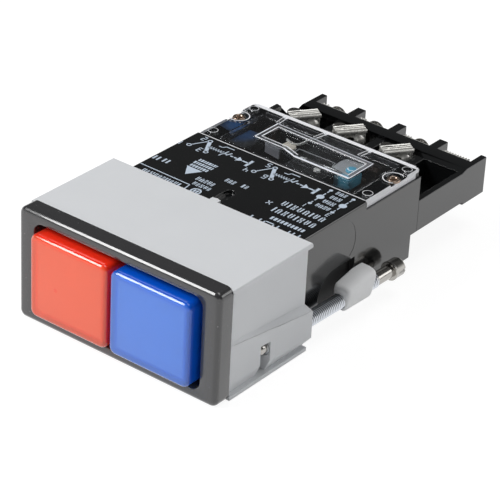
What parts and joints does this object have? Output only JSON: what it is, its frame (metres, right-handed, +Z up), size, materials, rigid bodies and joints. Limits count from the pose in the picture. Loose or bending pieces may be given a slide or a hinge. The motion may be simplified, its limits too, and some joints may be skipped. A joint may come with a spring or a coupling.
{
  "type": "illuminated push button switch",
  "caption": "Panel-mount illuminated push button switch with a red and a blue lens, side mounting screws with clamp claws, clear rear cover and screw terminals.",
  "frame": {"origin": "centre of the panel seat plane, at the rear rim of the mounting sleeve", "axes": "+X right seen from the front, +Y to the rear of the panel along the button travel, +Z up"},
  "size_m": [0.0518, 0.0926, 0.0238],
  "materials": {
    "bezel_plastic": "fine grain",
    "sleeve_plastic": "satin, slightly translucent",
    "black_plastic": "glossy",
    "clear_plastic": "clear moulded cover",
    "red_lens_plastic": "translucent red",
    "blue_lens_plastic": "translucent blue",
    "diffuser_plastic": "milky",
    "white_plastic": "natural nylon",
    "plunger_plastic": "blue",
    "steel": "bright zinc plate",
    "terminal_metal": "nickel plate",
    "brass": "bright",
    "spring_steel": "bright",
    "lamp_glass": "clear"
  },
  "bodies": {
    "base": {"front_bezel": "bezel_plastic", "mounting_sleeve": "sleeve_plastic", "switch_housing": "black_plastic", "inner_base": "white_plastic", "clear_cover": "clear_plastic", "cover_rivet_left": "brass", "cover_rivet_right": "brass", "lamp_terminal_block": "white_plastic", "terminal_tray": "black_plastic", "red_fixed_contact": "brass", "red_return_spring": "spring_steel", "red_lamp_base": "brass", "red_lamp_glass": "lamp_glass", "blue_fixed_contact": "brass", "blue_return_spring": "spring_steel", "blue_lamp_base": "brass", "blue_lamp_glass": "lamp_glass", "front_terminal_tab_1": "terminal_metal", "front_clamp_plate_1": "terminal_metal", "front_terminal_screw_1": "steel", "rear_terminal_screw_1": "steel", "front_terminal_tab_2": "terminal_metal", "front_clamp_plate_2": "terminal_metal", "front_terminal_screw_2": "steel", "rear_terminal_screw_2": "steel", "front_terminal_tab_3": "terminal_metal", "front_clamp_plate_3": "terminal_metal", "front_terminal_screw_3": "steel", "rear_terminal_screw_3": "steel", "rear_terminal_plate_1": "terminal_metal", "rear_terminal_plate_2": "terminal_metal", "rear_terminal_plate_3": "terminal_metal", "rear_terminal_plate_4": "terminal_metal"},
    "red_button": {"red_lens": "red_lens_plastic", "red_diffuser": "diffuser_plastic", "red_button_frame": "white_plastic", "red_plunger": "plunger_plastic", "red_contact_bridge": "brass"},
    "blue_button": {"blue_lens": "blue_lens_plastic", "blue_diffuser": "diffuser_plastic", "blue_button_frame": "white_plastic", "blue_plunger": "plunger_plastic", "blue_contact_bridge": "brass"},
    "left_screw": {"left_mounting_screw": "steel", "left_retaining_ring": "steel"},
    "left_claw": {"left_clamp_claw": "white_plastic"},
    "right_screw": {"right_mounting_screw": "steel", "right_retaining_ring": "steel"},
    "right_claw": {"right_clamp_claw": "white_plastic"}
  },
  "joints": [
    {"name": "red_button_press", "type": "slide", "parent": "base", "child": "red_button", "axis": [0, 1, 0], "range_m": [0, 0.003], "stiffness_N_per_m": 300, "springref_m": -0.004},
    {"name": "blue_button_press", "type": "slide", "parent": "base", "child": "blue_button", "axis": [0, 1, 0], "range_m": [0, 0.003], "stiffness_N_per_m": 300, "springref_m": -0.004},
    {"name": "left_screw_turn", "type": "hinge", "parent": "base", "child": "left_screw", "pos_m": [-0.02285, 0, -0.0063], "axis": [-0.0314, 0.9995, 0], "range_deg": [-5041, 7201]},
    {"name": "left_claw_slide", "type": "slide", "parent": "base", "child": "left_claw", "axis": [0.0314, -0.9995, 0], "range_m": [-0.007, 0.01]},
    {"name": "right_screw_turn", "type": "hinge", "parent": "base", "child": "right_screw", "pos_m": [0.02285, 0, -0.0063], "axis": [0.0314, 0.9995, 0], "range_deg": [-5041, 7201]},
    {"name": "right_claw_slide", "type": "slide", "parent": "base", "child": "right_claw", "axis": [-0.0314, -0.9995, 0], "range_m": [-0.007, 0.01]}
  ],
  "couplings": [
    {"joint": "left_screw_turn", "follows": "left_claw_slide", "rad_per_m": 12566},
    {"joint": "right_screw_turn", "follows": "right_claw_slide", "rad_per_m": 12566}
  ]
}
